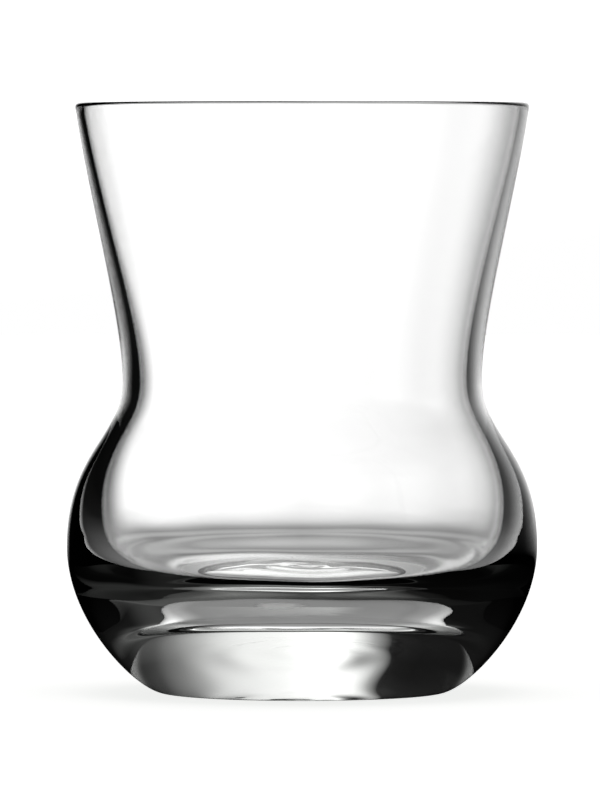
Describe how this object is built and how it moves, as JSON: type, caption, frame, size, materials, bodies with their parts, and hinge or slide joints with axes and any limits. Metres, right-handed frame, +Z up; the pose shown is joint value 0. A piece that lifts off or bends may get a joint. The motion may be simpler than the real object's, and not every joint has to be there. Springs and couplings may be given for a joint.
{
  "type": "whisky tumbler",
  "caption": "Clear blown-glass whisky tumbler with a flared mouth, a drawn-in waist and a round thick-based bulb, to hold a drink and stand on its ground foot.",
  "frame": {"origin": "middle of the foot, on the plane that the tumbler stands on", "axes": "+Z up along the tumbler's axis, from the foot to the mouth; X and Y are alike because the tumbler is round"},
  "size_m": [0.0798, 0.0798, 0.1],
  "materials": {
    "clear_glass": "clear colourless soda-lime glass, blown and fire-polished, with a ground and polished foot"
  },
  "bodies": {
    "root": {"tumbler_glass": "clear_glass"}
  },
  "joints": []
}
